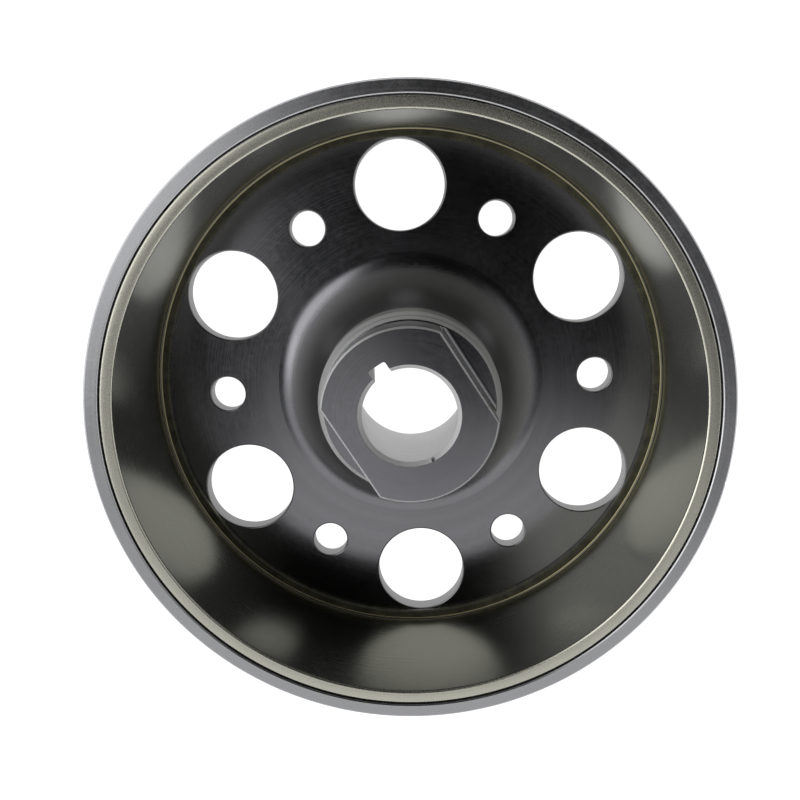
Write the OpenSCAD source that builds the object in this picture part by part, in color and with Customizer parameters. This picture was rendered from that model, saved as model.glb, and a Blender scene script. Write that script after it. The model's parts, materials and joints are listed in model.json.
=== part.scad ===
// Magneto flywheel of a small engine: a forged steel cup with a tapered hub.
// Twelve thin arc magnets stand in the cup behind a drawn stainless cover.
// The open mouth faces +Z and the hub's rear face lies on z = 0.

/* [Steel body] */
// Outside diameter of the rim
rotor_d = 130; // [124:1:138]
// Height from the hub's rear face to the open mouth
rotor_h = 40.5; // [38:0.5:46]
// Thickness of the steel rim behind the magnets
rim_t = 2.9; // [2.4:0.1:3.4]
// Thickness of the web
web_t = 4.3; // [3.5:0.1:6]
// Radius of the turned rear edge of the rim
rear_edge_r = 3.5; // [1:0.5:4]
// Chamfers of the rim's mouth, outer and inner
mouth_chamfer = 0.5; // [0.2:0.1:0.8]

/* [Hub] */
// Depth of the hub's front face below the mouth
hub_drop = 2; // [0.5:0.5:5]
// Diameter of the hub's nose
nose_d = 36.4; // [34:0.2:38]
// Height of the nose above its shoulder
nose_h = 9.5; // [6:0.5:12]
// Distance across the two spanner flats
flats_w = 29; // [27:0.5:31]
// Diameter of the collar below the nose
collar_d = 39.8; // [39:0.2:42]
// Height of the collar's turned band
collar_h = 6.6; // [5:0.2:7.4]
// Radius of the hollow between collar and web
hub_fillet_r = 11.5; // [8:0.5:12]
// Diameter of the rear boss
boss_d = 50; // [44:1:56]
// How far the rear boss stands proud of the web
boss_h = 1.4; // [0.8:0.1:3]

/* [Crankshaft seat] */
// Small diameter of the tapered bore, at the hub's front face
bore_d = 19.2; // [17:0.2:21]
// Length along the taper in which its diameter grows by one
taper_ratio = 5; // [5:1:10]
// Chamfer of the bore's front edge
bore_chamfer = 0.9; // [0.4:0.1:1.2]
// Width of the keyway
key_w = 4; // [3:0.5:5]
// Depth of the keyway beyond the bore's wall
key_depth = 2.5; // [1.5:0.1:3]
// Direction of the keyway, from +X
key_angle = 90.5; // [0:0.5:359.5]

/* [Web holes] */
// Number of lightening holes, and of the bolt holes between them
hole_count = 6; // [4:1:6]
// Diameter of the lightening holes
vent_d = 20.8; // [16:0.2:21]
// Radius of the circle that the lightening holes lie on
vent_ring_r = 46.6; // [44:0.2:47]
// Diameter of the bolt holes
bolt_d = 8.1; // [6.4:0.1:9]
// Radius of the circle that the bolt holes lie on
bolt_ring_r = 43.65; // [42:0.05:45]
// Chamfer of the web holes
hole_chamfer = 0.35; // [0.1:0.05:0.6]

/* [Magnets] */
// Number of arc magnets
magnet_count = 12; // [8:2:16]
// Thickness of a magnet
magnet_t = 2.15; // [1.6:0.05:2.4]
// Gap between neighbouring magnets, as an angle
magnet_gap = 2.6; // [1.5:0.1:5]
// Thickness of the stainless cover
cover_t = 0.45; // [0.3:0.05:0.6]
// Width of the cover's turned-in lower lip
lip_w = 0.6; // [0.3:0.1:0.9]
// Depth of the cover's flange below the mouth
flange_drop = 0.35; // [0.2:0.05:0.5]
// Width of the base ring
base_w = 4.8; // [3.5:0.1:4.8]
// Thickness of the base ring
base_t = 1.2; // [0.8:0.1:2]

/* [Trigger lug and balance] */
// How far the trigger lug stands out of the rim
lug_h = 1.2; // [0.8:0.1:1.6]
// Width of the lug along the axis
lug_w = 9; // [6:1:14]
// Length of the lug around the rim, as an angle
lug_span = 26; // [10:1:40]
// Direction of the lug, from +X
lug_angle = 225; // [45:90:315]
// Diameter of the balance drillings in the rear face
balance_d = 5; // [3:0.5:5]

/* [Hidden] */
$fn = 120;
// Clearance between pieces that are bonded or pressed together
gap = 0.05;
// Overrun of a cutting tool past the face that it cuts
over = 1;

rim_r = rotor_d / 2;
cup_r = rim_r - rim_t;
nose_r = nose_d / 2;
collar_r = collar_d / 2;
boss_r = boss_d / 2;
web_back = boss_h;
web_front = boss_h + web_t;
hub_front = rotor_h - hub_drop;
shoulder_z = hub_front - nose_h;
nose_chamfer = 0.4;
flat_chamfer = 0.6;
flat_corner_r = 1.2;
key_corner_r = 0.5;
ledge_w = 0.2;
ring_r = nose_r + 0.9;
ring_h = 2;
collar_top = shoulder_z - ring_h;
collar_bevel = 0.7;
collar_taper = 0.1;
boss_chamfer = 0.6;
pitch = 360 / hole_count;

bore_r = bore_d / 2;
bore_slope = 0.5 / taper_ratio;
bore_back_r = bore_r + bore_slope * hub_front;
bore_back_chamfer = 0.5;
key_tilt = atan(bore_slope);

magnet_pitch = 360 / magnet_count;
magnet_out_r = cup_r - 2 * gap;
magnet_in_r = magnet_out_r - magnet_t;
cover_out_r = magnet_in_r - 2 * gap;
cover_in_r = cover_out_r - cover_t;
cover_bottom = web_front + base_t + 2 * gap;
flange_top = rotor_h - flange_drop;
flange_r = cup_r - 0.25;
flange_bend_r = 0.5;
magnet_bottom = web_front + base_t + 2 * gap;
magnet_top = flange_top - cover_t - 0.3;
magnet_chamfer = 0.25;
spacer_clear = 0.3;

lug_z = rotor_h - 22;
lug_chamfer = 0.4;
balance_depth = 2;
balance_step = 11;
timing_line_w = 0.6;
timing_line_depth = 0.3;
timing_line_l = 9;

// Two-digit number of a repeated piece
function two_digits(n) = n < 10 ? str("0", n) : str(n);

// Outline tool: square on its corner, which cuts a chamfer with legs of size
module corner_cut(x, y, size) {
    translate([x, y]) rotate(45) square(size * sqrt(2), center = true);
}

// Outline tool: the waste outside a rounded lower right corner
module round_waste(x, y, r) {
    difference() {
        translate([x - r, y - over]) square([r + over, r + over]);
        translate([x - r, y + r]) circle(r);
    }
}

// Half section of the collar: a slightly tapered band with a bevelled upper edge
module collar_section() {
    top_r = collar_r - collar_taper;
    polygon([[0, 0], [collar_r, 0], [collar_r, collar_top - collar_h],
             [top_r, collar_top - collar_bevel], [top_r - collar_bevel, collar_top],
             [0, collar_top]]);
}

// Half section of the turned steel body, before the bore is cut
module body_section() {
    difference() {
        union() {
            translate([0, web_back]) square([rim_r, web_t]);
            translate([cup_r, web_back]) square([rim_t, rotor_h - web_back]);
            square([boss_r, web_front]);
            square([nose_r, hub_front]);
            square([ring_r, shoulder_z]);
            collar_section();
            difference() {
                translate([collar_r - over, web_front - over]) square(hub_fillet_r + over);
                translate([collar_r + hub_fillet_r, web_front + hub_fillet_r]) circle(hub_fillet_r);
            }
        }
        round_waste(rim_r, web_back, rear_edge_r);
        corner_cut(rim_r, rotor_h, mouth_chamfer);
        corner_cut(cup_r, rotor_h, mouth_chamfer);
        corner_cut(nose_r, hub_front, nose_chamfer);
        corner_cut(ring_r, shoulder_z, ring_r - nose_r - ledge_w);
        corner_cut(boss_r, 0, boss_chamfer);
    }
}

// Raised arc on the rim that triggers the ignition pickup
module trigger_lug() {
    rotate_extrude(angle = lug_span, start = lug_angle - lug_span / 2)
        difference() {
            translate([rim_r - over, lug_z]) square([over + lug_h, lug_w]);
            corner_cut(rim_r + lug_h, lug_z, lug_chamfer);
            corner_cut(rim_r + lug_h, lug_z + lug_w, lug_chamfer);
        }
}

// Tapered bore with a chamfer at each end
module bore_tool() {
    translate([0, 0, -over])
        cylinder(h = hub_front + 2 * over, r1 = bore_back_r + bore_slope * over,
                 r2 = bore_r - bore_slope * over);
    translate([0, 0, hub_front - bore_chamfer])
        cylinder(h = bore_chamfer + over, r1 = bore_r, r2 = bore_r + bore_chamfer + over);
    translate([0, 0, -over])
        cylinder(h = over + bore_back_chamfer, r1 = bore_back_r + bore_back_chamfer + over,
                 r2 = bore_back_r);
}

// Slot along the bore's wall, sunk parallel to the taper, with rounded corners
module keyway_tool() {
    side = key_w / 2;
    rotate(key_angle)
        translate([bore_back_r + key_depth, 0, 0]) rotate([0, -key_tilt, 0])
            translate([0, 0, -2 * over]) linear_extrude(hub_front + 6 * over) {
                translate([-3 * key_depth, -side])
                    square([3 * key_depth - key_corner_r, key_w]);
                translate([-3 * key_depth, key_corner_r - side])
                    square([3 * key_depth, key_w - 2 * key_corner_r]);
                for (s = [-1, 1]) translate([-key_corner_r, s * (side - key_corner_r)])
                    circle(key_corner_r);
            }
}

// Round hole through the web, chamfered on both faces
module web_hole(d) {
    r = d / 2;
    translate([0, 0, web_back - over]) cylinder(h = web_t + 2 * over, r = r);
    translate([0, 0, web_front - hole_chamfer])
        cylinder(h = hole_chamfer + over, r1 = r, r2 = r + hole_chamfer + over);
    translate([0, 0, web_back - over])
        cylinder(h = hole_chamfer + over, r1 = r + hole_chamfer + over, r2 = r);
}

// Milled flat on one side of the nose, with a chamfered top edge and the cutter's corner radius below
module flat_tool() {
    half = flats_w / 2;
    translate([0, nose_r, 0]) rotate([90, 0, 0]) linear_extrude(nose_d) {
        translate([half, shoulder_z + flat_corner_r])
            square([nose_r, nose_h - flat_corner_r + over]);
        translate([half + flat_corner_r, shoulder_z]) square([nose_r, nose_h]);
        translate([half + flat_corner_r, shoulder_z + flat_corner_r]) circle(flat_corner_r);
        corner_cut(half, hub_front, flat_chamfer);
    }
}

// Forged and turned steel body: rim, web and hub in one piece
module rotor_body() {
    color("slategray") difference() {
        union() {
            rotate_extrude() body_section();
            trigger_lug();
        }
        bore_tool();
        keyway_tool();
        for (i = [0 : hole_count - 1]) rotate(i * pitch) {
            translate([vent_ring_r, 0, 0]) web_hole(vent_d);
            rotate(pitch / 2) translate([bolt_ring_r, 0, 0]) web_hole(bolt_d);
        }
        for (side = [0, 180]) rotate(side) flat_tool();
        // balance drillings in the rear face, opposite the lug
        for (i = [-1 : 1]) rotate(lug_angle + 180 + i * balance_step)
            translate([cup_r - balance_d / 2, 0, -over])
                cylinder(h = over + web_back + balance_depth, d = balance_d);
        // timing line across the mouth end of the rim
        rotate(lug_angle + 90)
            translate([rim_r - timing_line_depth, -timing_line_w / 2, rotor_h - timing_line_l])
                cube([over, timing_line_w, timing_line_l + over]);
    }
}

// Drawn stainless cover: flange at the mouth, wall over the magnets, lower lip
module magnet_cover() {
    color("silver") rotate_extrude() difference() {
        union() {
            translate([cover_in_r, flange_top - cover_t])
                square([flange_r - cover_in_r, cover_t]);
            translate([cover_in_r, cover_bottom])
                square([cover_t, flange_top - cover_bottom]);
            translate([cover_in_r - lip_w, cover_bottom])
                square([lip_w + cover_t, cover_t]);
        }
        // rounded bend between the flange and the wall
        difference() {
            translate([cover_in_r - over, flange_top - flange_bend_r])
                square([over + flange_bend_r, flange_bend_r + over]);
            translate([cover_in_r + flange_bend_r, flange_top - flange_bend_r])
                circle(flange_bend_r);
        }
    }
}

// Non-magnetic ring that keeps the magnets off the web
module base_ring() {
    color("darkkhaki") translate([0, 0, web_front + gap]) rotate_extrude()
        difference() {
            translate([magnet_out_r - base_w, 0]) square([base_w, base_t]);
            corner_cut(magnet_out_r - base_w, base_t, 0.3);
        }
}

// One arc magnet, numbered from 1 around the cup
module magnet(n) {
    arc = magnet_pitch - magnet_gap;
    color("dimgray")
        rotate_extrude(angle = arc, start = (n - 1) * magnet_pitch - arc / 2)
            difference() {
                translate([magnet_in_r, magnet_bottom]) square([magnet_t, magnet_top - magnet_bottom]);
                corner_cut(magnet_in_r, magnet_top, magnet_chamfer);
                corner_cut(magnet_in_r, magnet_bottom, magnet_chamfer);
            }
}

// Moulded strip that keeps magnet n apart from the next one
module magnet_spacer(n) {
    arc = magnet_gap - spacer_clear;
    color("darkolivegreen")
        rotate_extrude(angle = arc, start = (n - 0.5) * magnet_pitch - arc / 2)
            translate([magnet_in_r, magnet_bottom])
                square([magnet_t, magnet_top - magnet_bottom]);
}

rotor_body();
magnet_cover();
base_ring();
for (i = [1 : magnet_count]) {
    magnet(i);
    magnet_spacer(i);
}
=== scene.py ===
"""Looks of a magneto flywheel: a turned steel cup with a keyed hub, lined by a polished stainless cover."""
import json
import math

import bmesh
import bpy
from mathutils import Matrix, Vector


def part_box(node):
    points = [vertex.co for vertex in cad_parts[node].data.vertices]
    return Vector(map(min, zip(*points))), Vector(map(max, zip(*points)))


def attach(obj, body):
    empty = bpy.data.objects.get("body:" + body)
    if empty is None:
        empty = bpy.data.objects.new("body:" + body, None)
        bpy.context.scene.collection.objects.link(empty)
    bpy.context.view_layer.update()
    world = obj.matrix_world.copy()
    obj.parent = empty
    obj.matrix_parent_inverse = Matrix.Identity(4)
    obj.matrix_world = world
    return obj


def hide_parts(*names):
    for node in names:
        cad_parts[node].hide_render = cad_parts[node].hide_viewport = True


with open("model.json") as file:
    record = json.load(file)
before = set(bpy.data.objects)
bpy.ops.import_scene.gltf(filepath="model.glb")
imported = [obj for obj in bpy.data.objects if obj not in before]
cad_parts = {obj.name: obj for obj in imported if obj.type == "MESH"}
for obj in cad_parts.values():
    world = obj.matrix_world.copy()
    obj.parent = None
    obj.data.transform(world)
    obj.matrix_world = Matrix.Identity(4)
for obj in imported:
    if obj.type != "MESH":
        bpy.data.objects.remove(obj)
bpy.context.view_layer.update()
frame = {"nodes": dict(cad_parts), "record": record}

# ---------------------------------------------------------------- sizes, in millimetres

# a millimetre and a micrometre, in metres
MM = 0.001
UM = 0.000001
MOUNTS = {m["name"]: m for m in frame["record"]["mounts"]}


def mount_mm(name, axis):
    """Coordinate of a mount along one axis (0, 1, 2)."""
    return MOUNTS[name]["pos_m"][axis] / MM


def rise_mm(node):
    """Lowest and highest Z of a CAD node."""
    low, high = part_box(node)
    return low.z / MM, high.z / MM


def reach_mm(node):
    """Radius of a round CAD node: the least of its four reaches."""
    low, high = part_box(node)
    return min(high.x, high.y, -low.x, -low.y) / MM


GAP = 0.05               # clearance between bonded pieces
OVER = 1.0               # overrun of a cutter past the face that it cuts

RIM_R = reach_mm("rotor_body")
CUP_R = RIM_R - 2.9
MOUTH_Z = rise_mm("rotor_body")[1]
WEB_BACK = mount_mm("clutch_seat_face", 2)
WEB_FRONT = rise_mm("base_ring")[0] - GAP
REAR_EDGE_R = 3.5
RIM_CHAMFER = 0.4        # of the mouth, outside
CUP_CHAMFER = 0.2        # of the mouth, inside

HUB_TOP = mount_mm("crank_nut_face", 2)
NOSE_R = 18.2
NOSE_CHAMFER = 0.4
SHOULDER_Z = HUB_TOP - 9.5
LEDGE_W = 0.2            # flat ledge at the nose's foot
RING_R = 19.1            # ring between nose and collar
COLLAR_R = 19.9
COLLAR_TAPER = 0.1
COLLAR_BEVEL = 0.7       # of the collar, and of the ring above it
COLLAR_TOP = SHOULDER_Z - 2.0
COLLAR_LOW = COLLAR_TOP - 6.6
HUB_FILLET = 11.5        # radius of the hollow between collar and web
BOSS_R = 25.0
BOSS_CHAMFER = 0.6
FLAT_X = mount_mm("spanner_flat_px", 0)
FLAT_CORNER_R = 1.2
FLAT_EDGE = 0.55

BORE_R = 9.6             # at the hub's front face
BORE_SLOPE = 0.1
BORE_BACK_R = BORE_R + BORE_SLOPE * HUB_TOP
BORE_CHAMFER = 0.9
BACK_CHAMFER = 0.5
KEY_ANGLE = 90.5
KEY_W = 4.0
KEY_DEPTH = 2.5
KEY_CORNER_R = 0.5
KNOCK_ANGLE = 265.0
KNOCK_R = 0.35
KNOCK_DEPTH = 0.75

HOLES = MOUNTS["clutch_bolts"]["dims"]["count"]
BOLT_R = MOUNTS["clutch_bolts"]["dims"]["hole_r_mm"]
BOLT_RING = MOUNTS["clutch_bolts"]["dims"]["pcd_mm"] / 2
VENT_R = 10.4
VENT_RING = 46.6
HOLE_EDGE = 0.35         # rounding of the web holes

LUG_ANGLE = 225.0
LUG_SPAN = 26            # in degrees
LUG_H = 1.2
LUG_W = 9.0
LUG_Z = MOUTH_Z - 22.0
LUG_CHAMFER = 0.4
BALANCE_R = 2.5
BALANCE_DEPTH = 2.0
BALANCE_POINT = 0.7      # height of the drill's pointed end
BALANCE_STEP = 11.0      # in degrees
TIMING_LINE_W = 0.6
TIMING_LINE_DEPTH = 0.3
TIMING_LINE_L = 9.0

MAGNET_T = 2.15
COVER_T = 0.45
COVER_IN_R = CUP_R - 2 * GAP - MAGNET_T - 2 * GAP - COVER_T
FLANGE_TRIM = 0.06       # how far the flange stays inside the CAD flange, so that a dark seam shows
FLANGE_EDGE = 0.25
FLANGE_DISH = 0.09       # how far the flange sinks towards its bend
FLANGE_BEND = 0.5
LIP_W = 0.6
LIP_BEND = 0.35
LIP_BEAD = 0.22
WAVE_H = 0.008           # waves that drawing leaves in the cover's wall
BASE_W = 4.8
BASE_CHAMFER = 0.3

TURNS = 360              # facets round a turned surface
EDGE_R = 0.12            # rounding of the body's turned edges
SHARP = math.radians(28.0)
FLAT = 0.99999           # least part of a unit normal along X, Y or Z that makes its face a flat one
HOLE_ZONE = (30.0, 58.5)     # radii between which the web's holes lie

# ---------------------------------------------------------------- outlines and meshes


def arc(centre, radius, start, end, steps):
    """Points of an arc, from start to end in degrees."""
    span = [math.radians(start + (end - start) * i / steps) for i in range(steps + 1)]
    return [(centre[0] + radius * math.cos(t), centre[1] + radius * math.sin(t)) for t in span]


def soften(outline, radius, steps=3):
    """Rounds each sharp corner of a closed outline with a small curve."""
    out = []
    count = len(outline)
    for i, corner in enumerate(outline):
        here = Vector(corner)
        back = Vector(outline[i - 1]) - here
        ahead = Vector(outline[(i + 1) % count]) - here
        turn = math.pi - back.angle(ahead, math.pi)
        if turn < math.radians(20.0):
            out.append(corner)
            continue
        reach = min(radius * math.tan(turn / 2), 0.4 * back.length, 0.4 * ahead.length)
        start = here + back.normalized() * reach
        end = here + ahead.normalized() * reach
        for k in range(steps + 1):
            t = k / steps
            point = start * (1 - t) ** 2 + here * (2 * t * (1 - t)) + end * t ** 2
            out.append((point.x, point.y))
    return out


def to_object(bm, name):
    """Turns a bmesh into an object of the scene, with its faces outwards."""
    bmesh.ops.recalc_face_normals(bm, faces=bm.faces)
    mesh = bpy.data.meshes.new(name)
    bm.to_mesh(mesh)
    bm.free()
    made = bpy.data.objects.new(name, mesh)
    bpy.context.scene.collection.objects.link(made)
    return made


def turned(name, outline, turns=TURNS, wobble=None, span=360.0, start=0.0):
    """Solid of revolution about Z of a closed (r, z) outline. wobble(r, z, angle) gives a shift of r."""
    bm = bmesh.new()
    full = span >= 360.0
    rings = []
    for k in range(turns if full else turns + 1):
        angle = math.radians(start + span * k / turns)
        ring = []
        for r, z in outline:
            if wobble:
                r += wobble(r, z, angle)
            ring.append(bm.verts.new((r * math.cos(angle) * MM, r * math.sin(angle) * MM, z * MM)))
        rings.append(ring)
    count = len(outline)
    for k in range(turns):
        here, ahead = rings[k], rings[(k + 1) % len(rings)]
        for i in range(count):
            j = (i + 1) % count
            bm.faces.new((here[i], here[j], ahead[j], ahead[i]))
    if not full:
        bm.faces.new(rings[0])
        bm.faces.new(rings[-1])
    return to_object(bm, name)


def plug(bm, outline, place, turns=96):
    """Adds a capped round cutter to bm: an open (r, z) outline, turned about its own axis."""
    rings = []
    for r, z in outline:
        ring = []
        for k in range(turns):
            t = 2 * math.pi * k / turns
            ring.append(bm.verts.new(place @ Vector((r * math.cos(t) * MM, r * math.sin(t) * MM, z * MM))))
        rings.append(ring)
    for low, high in zip(rings, rings[1:]):
        for k in range(turns):
            j = (k + 1) % turns
            bm.faces.new((low[k], low[j], high[j], high[k]))
    bm.faces.new(rings[0][::-1])
    bm.faces.new(rings[-1])


def bridge(bm, low, high):
    """Closes a prism between two equal loops of corners."""
    count = len(low)
    for i in range(count):
        j = (i + 1) % count
        bm.faces.new((low[i], low[j], high[j], high[i]))
    bm.faces.new(low[::-1])
    bm.faces.new(high)


def block(bm, outline, depth, place):
    """Adds a prism to bm: an (x, z) outline, run from -depth/2 to depth/2 along Y."""
    near, far = ([bm.verts.new(place @ Vector((x * MM, y * MM, z * MM))) for x, z in outline]
                 for y in (-depth / 2, depth / 2))
    bridge(bm, near, far)


def spin(degrees):
    """Turn about Z."""
    return Matrix.Rotation(math.radians(degrees), 4, "Z")


def outwards(distance):
    """Shift along X."""
    return Matrix.Translation(Vector((distance, 0, 0)) * MM)


def combine(target, tool, how):
    """Applies a boolean of tool to target, and removes tool."""
    step = target.modifiers.new("cut", "BOOLEAN")
    step.operation = how
    step.object = tool
    step.solver = "MANIFOLD"
    graph = bpy.context.evaluated_depsgraph_get()
    result = bpy.data.meshes.new_from_object(target.evaluated_get(graph))
    target.modifiers.clear()
    old = target.data
    target.data = result
    result.name = old.name + "_cut"
    bpy.data.meshes.remove(old)
    bpy.data.objects.remove(tool)


def smooth(piece):
    """Smooth shading with sharp edges kept, and flat faces kept flat up to their edges."""
    piece.data.set_sharp_from_angle(angle=SHARP)
    for face in piece.data.polygons:
        face.use_smooth = max(abs(c) for c in face.normal) < FLAT
    even = piece.modifiers.new("even", "WEIGHTED_NORMAL")
    even.mode = "FACE_AREA"
    even.weight = 100
    even.keep_sharp = True


# ---------------------------------------------------------------- steel body


def body_outline():
    """Half section of the steel body, bore included, anticlockwise from the bore's front edge."""
    points = [(BORE_R + BORE_CHAMFER, HUB_TOP)]
    points += [(BORE_R + BORE_SLOPE * BORE_CHAMFER, HUB_TOP - BORE_CHAMFER)]
    points += [(BORE_BACK_R, BACK_CHAMFER), (BORE_BACK_R + BACK_CHAMFER, 0.0)]
    points += [(BOSS_R - BOSS_CHAMFER, 0.0), (BOSS_R, BOSS_CHAMFER), (BOSS_R, WEB_BACK)]
    points += arc((RIM_R - REAR_EDGE_R, WEB_BACK + REAR_EDGE_R), REAR_EDGE_R, -90, 0, 12)
    points += [(RIM_R, MOUTH_Z - RIM_CHAMFER), (RIM_R - RIM_CHAMFER, MOUTH_Z)]
    points += [(CUP_R + CUP_CHAMFER, MOUTH_Z), (CUP_R, MOUTH_Z - CUP_CHAMFER), (CUP_R, WEB_FRONT)]
    points += arc((COLLAR_R + HUB_FILLET, WEB_FRONT + HUB_FILLET), HUB_FILLET, 270, 180, 28)
    points += [(COLLAR_R, COLLAR_LOW), (COLLAR_R - COLLAR_TAPER, COLLAR_TOP - COLLAR_BEVEL)]
    points += [(RING_R, COLLAR_TOP), (RING_R, SHOULDER_Z - COLLAR_BEVEL), (NOSE_R + LEDGE_W, SHOULDER_Z)]
    points += [(NOSE_R, SHOULDER_Z), (NOSE_R, HUB_TOP - NOSE_CHAMFER), (NOSE_R - NOSE_CHAMFER, HUB_TOP)]
    return soften(points, EDGE_R)


def rolled_edge(x, z, size, side=1):
    """Cutter outline of a rounded edge that turns from a wall at x into a face at z, on either side of it.

    The last two points slant out of the face, so that the cutter has no side that lies in it."""
    turn = [math.radians(10.0 * i) for i in range(9)]
    points = [(x + size * (1 - math.cos(t)), z - side * size * (1 - math.sin(t))) for t in turn]
    return points + [(x + size + 0.9 * OVER, z + side * 0.2 * OVER), (x + size + OVER, z + side * OVER)]


def hole_outline(radius):
    """Side of a hole through the web with rounded edges, from below the web to above it."""
    low = rolled_edge(radius, WEB_BACK, HOLE_EDGE, -1)
    high = rolled_edge(radius, WEB_FRONT, HOLE_EDGE)
    return low[::-1] + high


def add_web_holes(bm):
    """Lightening holes, and the bolt holes between them."""
    pitch = 360.0 / HOLES
    for i in range(HOLES):
        plug(bm, hole_outline(VENT_R), spin(i * pitch) @ outwards(VENT_RING), turns=144)
        plug(bm, hole_outline(BOLT_R), spin((i + 0.5) * pitch) @ outwards(BOLT_RING))


def add_balance_drillings(bm):
    """Three blind drillings in the rear face, opposite the trigger lug."""
    tip = WEB_BACK + BALANCE_DEPTH
    outline = [(BALANCE_R, -OVER), (BALANCE_R, tip - BALANCE_POINT), (0.05, tip)]
    for i in (-1, 0, 1):
        place = spin(LUG_ANGLE + 180 + BALANCE_STEP * i) @ outwards(CUP_R - BALANCE_R)
        plug(bm, outline, place, turns=48)


def add_knock(bm):
    """Small knock on the bore's front edge."""
    outline = [(KNOCK_R, HUB_TOP - KNOCK_DEPTH), (KNOCK_R + 0.25, HUB_TOP + OVER)]
    plug(bm, outline, spin(KNOCK_ANGLE) @ outwards(BORE_R + 0.6), turns=24)


def add_flats(bm):
    """Waste outside the two spanner flats, with a hollow corner at the foot and a rounded upper edge."""
    outside = NOSE_R + 3 * OVER
    flat = arc((FLAT_X + FLAT_CORNER_R, SHOULDER_Z + FLAT_CORNER_R), FLAT_CORNER_R, 270, 180, 8)
    flat += [(2 * FLAT_X - x, z) for x, z in rolled_edge(FLAT_X, HUB_TOP, FLAT_EDGE)]
    flat += [(outside, HUB_TOP + OVER), (outside, SHOULDER_Z)]
    for side in (0, 180):
        block(bm, flat, 2 * NOSE_R + 4 * OVER, spin(side))


def add_timing_line(bm):
    """Groove across the mouth end of the rim."""
    low, high = MOUTH_Z - TIMING_LINE_L, MOUTH_Z + OVER
    inside, outside = RIM_R - TIMING_LINE_DEPTH, RIM_R + OVER
    line = [(inside, low), (outside, low), (outside, high), (inside, high)]
    block(bm, line, TIMING_LINE_W, spin(LUG_ANGLE + 90))


def body_cutters():
    """Everything that is cut out of the turned body, except the keyway."""
    bm = bmesh.new()
    add_web_holes(bm)
    add_balance_drillings(bm)
    add_knock(bm)
    add_flats(bm)
    add_timing_line(bm)
    return to_object(bm, "cutters")


def key_cutter():
    """Keyway sunk into the bore, parallel to the taper, with rounded corners."""
    bm = bmesh.new()
    corner, side = KEY_CORNER_R, KEY_W / 2
    low, high = -2 * OVER, HUB_TOP + 2 * OVER
    floor = BORE_R + BORE_SLOPE * high + KEY_DEPTH
    inward = 8.0             # reach towards the axis, well into the bore
    outline = [(-inward, -side)] + arc((-corner, corner - side), corner, 270, 360, 6)
    outline += arc((-corner, side - corner), corner, 0, 90, 6) + [(-inward, side)]
    ends = []
    for z in (low, high):
        shift = floor - BORE_SLOPE * (z - low)
        ends.append([bm.verts.new(spin(KEY_ANGLE) @ Vector((x + shift, y, z)) * MM) for x, y in outline])
    bridge(bm, ends[0], ends[1])
    return to_object(bm, "key_cutter")


def lug_block():
    """Trigger lug on the rim, with chamfered long edges."""
    inside, outside = RIM_R - OVER, RIM_R + LUG_H
    high = LUG_Z + LUG_W
    section = [(inside, LUG_Z), (outside - LUG_CHAMFER, LUG_Z), (outside, LUG_Z + LUG_CHAMFER)]
    section += [(outside, high - LUG_CHAMFER), (outside - LUG_CHAMFER, high), (inside, high)]
    return turned("lug", section, turns=LUG_SPAN, span=LUG_SPAN, start=LUG_ANGLE - LUG_SPAN / 2)


def make_body():
    """Turned steel body with its lug, holes, flats and keyway."""
    body = turned("rotor_body_machined", body_outline())
    combine(body, lug_block(), "UNION")
    combine(body, body_cutters(), "DIFFERENCE")
    combine(body, key_cutter(), "DIFFERENCE")
    smooth(body)
    return body


# ---------------------------------------------------------------- cover and base ring


def cover_outline(low, high):
    """Half section of the cover: flange, rounded bend, thin wall and turned-in lip."""
    flange_r = reach_mm("magnet_cover") - FLANGE_TRIM
    flange_low = high - COVER_T
    wall_top = high - FLANGE_BEND - FLANGE_DISH
    wall_low = low + COVER_T + LIP_BEND
    flat_start = flange_r - FLANGE_EDGE
    flat_w = flat_start - COVER_IN_R - FLANGE_BEND
    wall_steps, flat_steps = 40, 6
    points = [(COVER_IN_R + COVER_T, low), (COVER_IN_R + COVER_T, flange_low - FLANGE_DISH)]
    points += [(flange_r, flange_low)]
    points += arc((flat_start, high - FLANGE_EDGE), FLANGE_EDGE, 0, 90, 5)
    for i in range(1, flat_steps):
        share = i / flat_steps
        points.append((flat_start - flat_w * share, high - FLANGE_DISH * share ** 2))
    points += arc((COVER_IN_R + FLANGE_BEND, wall_top), FLANGE_BEND, 84, 180, 9)
    for i in range(1, wall_steps):
        points.append((COVER_IN_R, wall_top + (wall_low - wall_top) * i / wall_steps))
    points += arc((COVER_IN_R - LIP_BEND, wall_low), LIP_BEND, 0, -90, 5)
    points += arc((COVER_IN_R - LIP_W + 0.2, low + LIP_BEAD), LIP_BEAD, 90, 270, 8)
    return points


def make_cover():
    """Drawn cover, with the slight waves of drawn sheet in its wall."""
    low, high = rise_mm("magnet_cover")

    def waves(r, z, angle):
        inside = r < COVER_IN_R + 0.1 and low + 1.0 < z < high - 1.0
        if not inside:
            return 0.0
        depth = math.sin(math.pi * (z - low) / (high - low))
        lobes = math.sin(12 * angle + 0.6) * 0.5 + math.sin(5 * angle + 2.0)
        lobes += math.sin(7 * angle + 0.09 * z)
        return WAVE_H * depth * lobes

    cover = turned("magnet_cover_drawn", cover_outline(low, high), wobble=waves)
    smooth(cover)
    return cover


def make_base_ring():
    """Flat ring at the foot of the wall, chamfered at its upper inner edge."""
    low, high = rise_mm("base_ring")
    outer = reach_mm("base_ring")
    inner = outer - BASE_W
    points = [(inner, low), (outer, low), (outer, high)]
    points += [(inner + BASE_CHAMFER, high), (inner, high - BASE_CHAMFER)]
    ring = turned("base_ring_bonded", soften(points, 0.1))
    smooth(ring)
    return ring


# ---------------------------------------------------------------- materials


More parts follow.
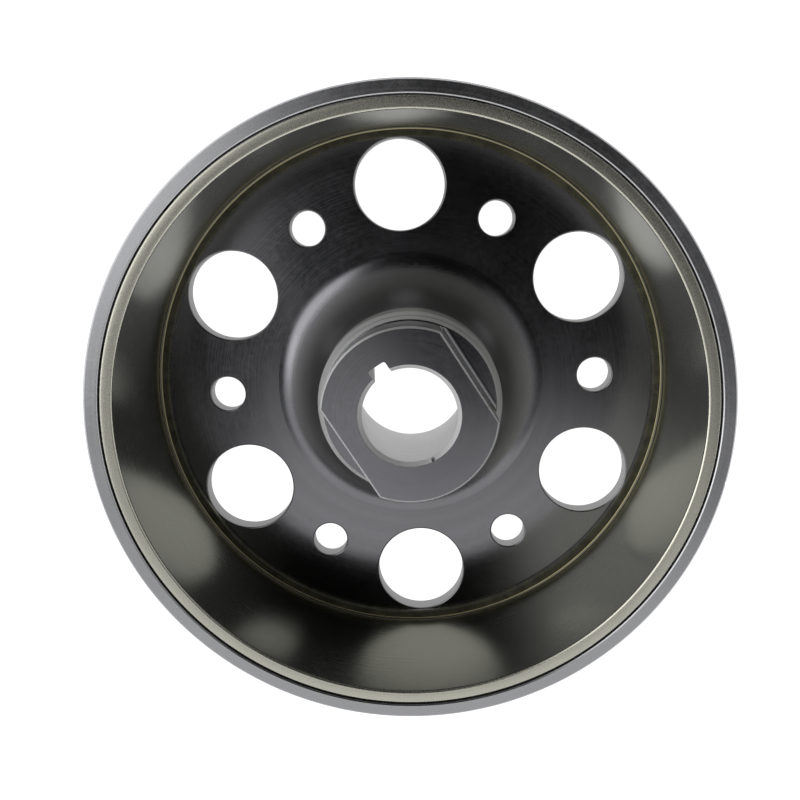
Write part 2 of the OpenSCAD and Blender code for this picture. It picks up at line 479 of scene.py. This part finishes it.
class Shader:
    """Short way to write a node material around one Principled shader."""

    def __init__(self, name, **sockets):
        self.material = bpy.data.materials.new(name)
        self.material.use_nodes = True
        self.tree = self.material.node_tree
        self.tree.nodes.clear()
        self.out = self.tree.nodes.new("ShaderNodeOutputMaterial")
        self.main = self.tree.nodes.new("ShaderNodeBsdfPrincipled")
        self.link(self.main.outputs[0], self.out.inputs[0])
        for key, value in sockets.items():
            self.main.inputs[key.replace("_", " ")].default_value = value
        self.place = self.node("ShaderNodeTexCoord").outputs["Object"]

    def link(self, a, b):
        self.tree.links.new(a, b)

    def set(self, socket, value):
        """Links a socket's output into an input of the Principled shader."""
        self.link(value, self.main.inputs[socket])

    def node(self, kind, inputs=None, **settings):
        """Adds a node. inputs maps its input sockets to other sockets or to plain values."""
        made = self.tree.nodes.new(kind)
        for key, value in settings.items():
            setattr(made, key, value)
        for key, value in (inputs or {}).items():
            if isinstance(value, bpy.types.NodeSocket):
                self.link(value, made.inputs[key])
            else:
                made.inputs[key].default_value = value
        return made

    def add(self, a, b):
        return self.node("ShaderNodeMath", {0: a, 1: b}, operation="ADD").outputs[0]

    def times(self, a, b):
        return self.node("ShaderNodeMath", {0: a, 1: b}, operation="MULTIPLY").outputs[0]

    def radius(self):
        """Distance from the rotation axis, in metres."""
        split = self.node("ShaderNodeSeparateXYZ", {0: self.place}).outputs
        flat = self.node("ShaderNodeCombineXYZ", {0: split[0], 1: split[1]}).outputs[0]
        return self.node("ShaderNodeVectorMath", {0: flat}, operation="LENGTH").outputs["Value"]

    def height(self):
        """Height above the hub's rear face, in metres."""
        return self.node("ShaderNodeSeparateXYZ", {0: self.place}).outputs[2]

    def noise(self, where, scale, detail=2.0, dims="3D"):
        """Noise with features of about 1/scale metres, along a line where dims is 1D."""
        key = "W" if dims == "1D" else "Vector"
        inputs = {key: where, "Scale": scale, "Detail": detail}
        return self.node("ShaderNodeTexNoise", inputs, noise_dimensions=dims).outputs[0]

    def ramp(self, value, low, high, out_low, out_high, shape="LINEAR"):
        """Carries value over from low..high to out_low..out_high."""
        inputs = {0: value, 1: low, 2: high, 3: out_low, 4: out_high}
        return self.node("ShaderNodeMapRange", inputs, interpolation_type=shape).outputs[0]

    def mix(self, share, a, b):
        """Mix of two colours, given as red, green and blue."""
        inputs = {0: share, 6: [*a, 1.0], 7: [*b, 1.0]}
        return self.node("ShaderNodeMix", inputs, data_type="RGBA").outputs[2]

    def bump(self, height, depth):
        """Bump of a depth in micrometres."""
        made = self.node("ShaderNodeBump", {"Height": height, "Distance": depth * UM, "Strength": 1.0})
        self.set("Normal", made.outputs[0])

    def turned_tangent(self):
        """Brushes the gloss in circles about Z."""
        tangent = self.node("ShaderNodeTangent", direction_type="RADIAL", axis="Z")
        self.set("Tangent", tangent.outputs[0])


def steel(name, base, rough, anisotropy, along, lines, depth, stain=0.12, metal=1.0, rise=None):
    """Machined steel, with tool marks of a depth in micrometres and a faint cloudy stain.

    along is "radius" for turned faces and "height" for turned walls; lines is marks per metre.
    rise gives two heights, and how much rougher the steel gets from one to the other."""
    s = Shader(name, Metallic=metal, Anisotropic=anisotropy, Anisotropic_Rotation=0.25)
    s.turned_tangent()
    where = s.radius() if along == "radius" else s.height()
    marks = s.noise(where, lines, 3.0, "1D")
    coarse = s.noise(where, lines / 9, 2.0, "1D")
    cloud = s.noise(s.place, 70.0, 4.0)
    fine = s.noise(s.place, 900.0, 3.0)
    tone = s.add(s.ramp(cloud, 0.3, 0.7, -stain, stain), s.ramp(coarse, 0.3, 0.7, -0.05, 0.05))
    dark = [c * 0.72 for c in base]
    light = [min(1.0, c * 1.18) for c in base]
    s.set("Base Color", s.mix(s.add(tone, 0.5), dark, light))
    wear = s.add(s.ramp(marks, 0.3, 0.7, -0.03, 0.03), s.ramp(fine, 0.35, 0.65, -0.015, 0.015))
    cloudy = s.add(wear, s.ramp(cloud, 0.3, 0.7, -0.015, 0.025))
    total = s.add(cloudy, rough)
    if rise:
        low, high, rougher = rise
        total = s.add(total, s.ramp(s.height(), low * MM, high * MM, 0.0, rougher, "SMOOTHSTEP"))
    s.set("Roughness", total)
    s.bump(s.add(marks, s.times(coarse, 0.6)), depth)
    return s.material


def stainless(name, base, rough):
    """Polished drawn sheet: faint rings round the wall, a few hazy patches."""
    s = Shader(name, Metallic=1.0, Anisotropic=0.45, Anisotropic_Rotation=0.25)
    s.turned_tangent()
    rings = s.noise(s.height(), 2600.0, 3.0, "1D")
    haze = s.noise(s.place, 45.0, 3.0)
    s.set("Base Color", s.mix(s.ramp(haze, 0.3, 0.7, 0.2, 0.8), [c * 0.85 for c in base], base))
    wear = s.add(s.ramp(rings, 0.3, 0.7, -0.02, 0.03), s.ramp(haze, 0.3, 0.7, -0.03, 0.04))
    s.set("Roughness", s.add(wear, rough))
    s.bump(rings, 4.0)
    return s.material


def satin(name, base, rough):
    """Worn or plated metal with a fine even grain."""
    s = Shader(name, Metallic=0.95)
    grain = s.noise(s.place, 2500.0, 2.0)
    haze = s.noise(s.place, 60.0, 4.0)
    s.set("Base Color", s.mix(s.ramp(haze, 0.3, 0.7, 0.1, 0.9), [c * 0.90 for c in base], base))
    s.set("Roughness", s.add(s.ramp(grain, 0.3, 0.7, -0.02, 0.02), rough))
    s.bump(grain, 1.2)
    return s.material


def resin(name, base, rough, depth):
    """Moulded or poured resin with a mottled colour."""
    s = Shader(name)
    blotch = s.noise(s.place, 350.0, 4.0)
    grain = s.noise(s.place, 3000.0, 2.0)
    s.set("Base Color", s.mix(s.ramp(blotch, 0.35, 0.65, 0.0, 1.0), [c * 0.55 for c in base], base))
    s.set("Roughness", s.add(s.ramp(grain, 0.3, 0.7, -0.08, 0.08), rough))
    s.bump(s.add(blotch, s.times(grain, 0.3)), depth)
    return s.material


def body_looks():
    """Materials of the body by name, one for each kind of machining, and a near-white, hardly metallic one
    that paints highlights on the hub's bevels.
    """
    web_rise = (WEB_FRONT, WEB_FRONT + 1.0, 0.29)
    looks = [
        steel("turned_face", (0.43, 0.43, 0.46), 0.16, 0.40, "radius", 3600.0, 1.2, stain=0.08),
        steel("turned_web", (0.43, 0.43, 0.455), 0.16, 0.40, "radius", 3600.0, 1.0, 0.08, rise=web_rise),
        steel("turned_wall", (0.54, 0.54, 0.56), 0.22, 0.50, "height", 3000.0, 3.0),
        steel("ground_bore", (0.82, 0.82, 0.82), 0.42, 0.30, "height", 4200.0, 4.0, stain=0.10),
        steel("drilled_wall", (0.50, 0.50, 0.50), 0.42, 0.10, "height", 5200.0, 8.0),
        steel("milled_flat", (0.50, 0.50, 0.52), 0.22, 0.40, "height", 2600.0, 4.0),
        steel("rim_end", (0.74, 0.745, 0.77), 0.26, 0.45, "radius", 3200.0, 0.6, stain=0.08),
        steel("ground_collar", (0.95, 0.95, 0.95), 0.50, 0.20, "height", 5200.0, 6.0, metal=0.45),
        # near-white, hardly metallic steel: the bright lines on the hub's bevels and the bore's chamfer are
        # painted highlights
        steel("painted_highlight_edge", (1.0, 1.0, 1.0), 0.35, 0.10, "height", 5200.0, 4.0, metal=0.1),
    ]
    return {look.name: look for look in looks}


def hub_machining(radius, z, up):
    """Look of a face of the hub's edges, collar and hollow; None where it belongs to none of them."""
    if radius < NOSE_R and z > HUB_TOP - BORE_CHAMFER - 0.05 and 0.25 < up < 0.95:
        # the bore's front chamfer gets the near-white look, a painted highlight
        return "painted_highlight_edge" if radius < FLAT_X - 0.6 else "ground_collar"
    by_bevels = COLLAR_TOP - COLLAR_BEVEL - 0.2 < z < SHOULDER_Z - 0.03
    if NOSE_R < radius < COLLAR_R and by_bevels and 0.3 < up < 0.95:
        # the bevels of the ring between nose and collar get the near-white look, a painted highlight
        return "painted_highlight_edge"
    if COLLAR_R - 0.3 < radius < COLLAR_R + HUB_FILLET and WEB_FRONT < z < COLLAR_TOP:
        return "ground_collar" if z > COLLAR_LOW else "turned_web"
    return None


def machining(centre, normal):
    """Name of the look of a face of the body, from where it is and which way it faces."""
    radius = math.hypot(centre.x, centre.y)
    outward = abs(centre.x * normal.x + centre.y * normal.y) / max(radius, 1e-6)
    level = abs(normal.z)
    in_web = WEB_BACK - 0.01 < centre.z < WEB_FRONT + 0.01
    if in_web and HOLE_ZONE[0] < radius < HOLE_ZONE[1] and level < 0.9:
        return "drilled_wall"
    if radius > CUP_R - 0.1 and centre.z > MOUTH_Z - 0.9:
        return "rim_end"
    hub = hub_machining(radius, centre.z, normal.z)
    if hub:
        return hub
    on_flat = abs(abs(centre.x) - FLAT_X) < 0.05 and abs(normal.x) > 0.99
    if on_flat and SHOULDER_Z < centre.z < HUB_TOP:
        return "milled_flat"
    if level > 0.9:
        return "turned_web" if centre.z < WEB_FRONT + 3.0 else "turned_face"
    if outward > 0.6 or level > 0.6:
        return "turned_wall" if radius > FLAT_X + 0.1 else "ground_bore"
    return "drilled_wall"


def paint_body(body):
    """Gives each machined surface of the body the marks of the tool that made it; the hub's bevels and the
    bore's chamfer get a near-white look whose bright lines are painted highlights.
    """
    looks = body_looks()
    names = list(looks)
    body.data.materials.clear()
    for name in names:
        body.data.materials.append(looks[name])
    for face in body.data.polygons:
        face.material_index = names.index(machining(face.center / MM, face.normal))


def paint_cover(cover):
    """Polished wall, satin flange and a gilded bead on the lower lip."""
    cover.data.materials.append(stainless("polished_wall", (0.27, 0.272, 0.225), 0.23))
    cover.data.materials.append(satin("satin_flange", (1.0, 0.985, 0.85), 0.27))
    cover.data.materials.append(satin("gilded_lip", (0.80, 0.72, 0.42), 0.30))
    low, high = rise_mm("magnet_cover")
    lip_r = COVER_IN_R - LIP_BEND
    for face in cover.data.polygons:
        centre = face.center / MM
        if centre.z > high - 0.4 and face.normal.z > 0.5:
            face.material_index = 1
        elif centre.z < low + 0.5 and face.normal.z > 0.2 and centre.xy.length < lip_r:
            face.material_index = 2


# ---------------------------------------------------------------- build


def place_body():
    body = make_body()
    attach(body, "root")
    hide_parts("rotor_body")
    paint_body(body)


def place_cover():
    cover = make_cover()
    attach(cover, "root")
    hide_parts("magnet_cover")
    paint_cover(cover)


def place_base_ring():
    ring = make_base_ring()
    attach(ring, "root")
    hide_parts("base_ring")
    ring.data.materials.append(resin("bonded_ring", (0.15, 0.145, 0.095), 0.30, 8.0))


def paint_magnets():
    """Materials of the magnets and spacers, which keep their CAD meshes."""
    magnet_look = satin("magnet_plating", (0.42, 0.42, 0.43), 0.35)
    spacer_look = resin("spacer_resin", (0.12, 0.12, 0.08), 0.5, 20.0)
    for name, node in frame["nodes"].items():
        if not name.startswith("magnet_") or name == "magnet_cover":
            continue
        look = spacer_look if name.startswith("magnet_spacer_") else magnet_look
        node.data.materials.clear()
        node.data.materials.append(look)


place_body()
place_cover()
place_base_ring()
paint_magnets()

# ---------------------------------------------------------------- floor, light and camera

# direction of the photograph's right-hand side, measured round the axis from +X, in degrees
PHOTO_TURN = -33.15

# soft lights round the object: azimuth of the centre, half width, soft edge, tilt where it starts, tilt where
# it is full, strength, and for one of them the two tilts between which it fades again; angles are in degrees,
# azimuths count from the photograph's right-hand side, and tilts from straight up
LOBES = (
    (164, 31, 13, 8, 19, 0.94),
    (-86, 37, 8, 10, 22, 0.46),
    (-112, 18, 9, 6, 11, 0.32, (13, 20)),
    (-150, 28, 10, 20, 28, 0.45),
    (-8, 42, 16, 12, 48, 0.30),
)


def make_floor():
    """Pale, softly lit table that reads white from above."""
    bm = bmesh.new()
    bmesh.ops.create_circle(bm, cap_ends=True, segments=96, radius=3.0)
    floor = to_object(bm, "floor")
    s = Shader("pale_table", Base_Color=(0.8, 0.8, 0.8, 1.0), Roughness=0.8)
    s.main.inputs["Emission Color"].default_value = (1.0, 1.0, 1.0, 1.0)
    seen = s.node("ShaderNodeLightPath").outputs["Is Camera Ray"]
    s.set("Emission Strength", s.ramp(seen, 0.0, 1.0, 0.5, 1.0))
    floor.data.materials.append(s.material)
    floor.location.z = -0.05 * MM


def make_world():
    """Pale studio: white behind the object, with soft lights over a dim horizon for its reflections."""
    world = bpy.data.worlds.new("studio")
    bpy.context.scene.world = world
    world.use_nodes = True
    tree = world.node_tree
    tree.nodes.clear()

    def node(kind, inputs=(), **settings):
        made = tree.nodes.new(kind)
        for key, value in settings.items():
            setattr(made, key, value)
        for i, value in enumerate(inputs):
            if isinstance(value, bpy.types.NodeSocket):
                tree.links.new(value, made.inputs[i])
            else:
                made.inputs[i].default_value = value
        return made.outputs

    def calc(how, *inputs):
        return node("ShaderNodeMath", inputs, operation=how)[0]

    def step(value, low, high, out_low=0.0, out_high=1.0):
        inputs = (value, low, high, out_low, out_high)
        return node("ShaderNodeMapRange", inputs, interpolation_type="SMOOTHSTEP")[0]

    where = node("ShaderNodeTexCoord")["Generated"]
    back_turn = math.radians(-PHOTO_TURN)
    turned_where = node("ShaderNodeVectorRotate", (where, (0, 0, 0), (0, 0, 1), back_turn))[0]
    x, y, z = node("ShaderNodeSeparateXYZ", (turned_where,))
    tilt = calc("MULTIPLY", calc("ARCCOSINE", z), 180 / math.pi)
    azimuth = calc("MULTIPLY", calc("ARCTAN2", y, x), 180 / math.pi)

    def sector(centre, half, edge):
        """1 between two azimuths, softly falling to 0 outside them."""
        off = calc("WRAP", calc("SUBTRACT", azimuth, centre), 180.0, -180.0)
        return step(calc("ABSOLUTE", off), half - edge, half + edge, 1.0, 0.0)

    def lobe(centre, half, edge, near, far, strength, fade=None):
        """Soft light between two azimuths, rising with tilt from near to far, and falling over fade."""
        light = calc("MULTIPLY", sector(centre, half, edge), step(tilt, near, far, 0.0, strength))
        if fade:
            light = calc("MULTIPLY", light, step(tilt, fade[0], fade[1], 1.0, 0.0))
        return light

    # the horizon is darker towards the photograph's upper right
    horizon = step(sector(65, 62, 16), 0.0, 1.0, 0.36, 0.07)
    light = calc("MULTIPLY", step(tilt, 52.0, 74.0), horizon)
    for sizes in LOBES:
        light = calc("ADD", light, lobe(*sizes))
    light = calc("ADD", light, 0.004)
    seen = node("ShaderNodeLightPath")["Is Camera Ray"]
    light = calc("MAXIMUM", light, seen)
    back = node("ShaderNodeBackground", ((1.0, 1.0, 1.0, 1.0), light))[0]
    node("ShaderNodeOutputWorld", (back,))


def make_camera():
    """Looks into the mouth from a little above the axis."""
    data = bpy.data.cameras.new("camera")
    data.sensor_width = 36.0
    data.lens = 38.70
    data.shift_x = -0.0125
    data.shift_y = -0.0409
    data.clip_start = 0.005
    data.clip_end = 20.0
    camera = bpy.data.objects.new("camera", data)
    bpy.context.scene.collection.objects.link(camera)
    # offsets from the middle of the mouth in the photograph's own axes: right, up, out of the mouth
    place = Vector((1.279, 40.216, 166.051))
    right = Vector((0.99997, 0.0, -0.00712))
    back = Vector((0.007008, 0.176972, 0.984191)).normalized()
    right = (right - back * right.dot(back)).normalized()
    up = back.cross(right)
    turn = spin(PHOTO_TURN).to_3x3()
    axes = Matrix([turn @ right, turn @ up, turn @ back]).transposed()
    middle = Vector((0, 0, MOUTH_Z))
    camera.matrix_world = Matrix.Translation((turn @ place + middle) * MM) @ axes.to_4x4()
    bpy.context.scene.camera = camera


make_floor()
make_world()
make_camera()

scene = bpy.context.scene
scene.view_settings.view_transform = "Standard"
scene.view_settings.look = "None"
scene.render.film_transparent = False
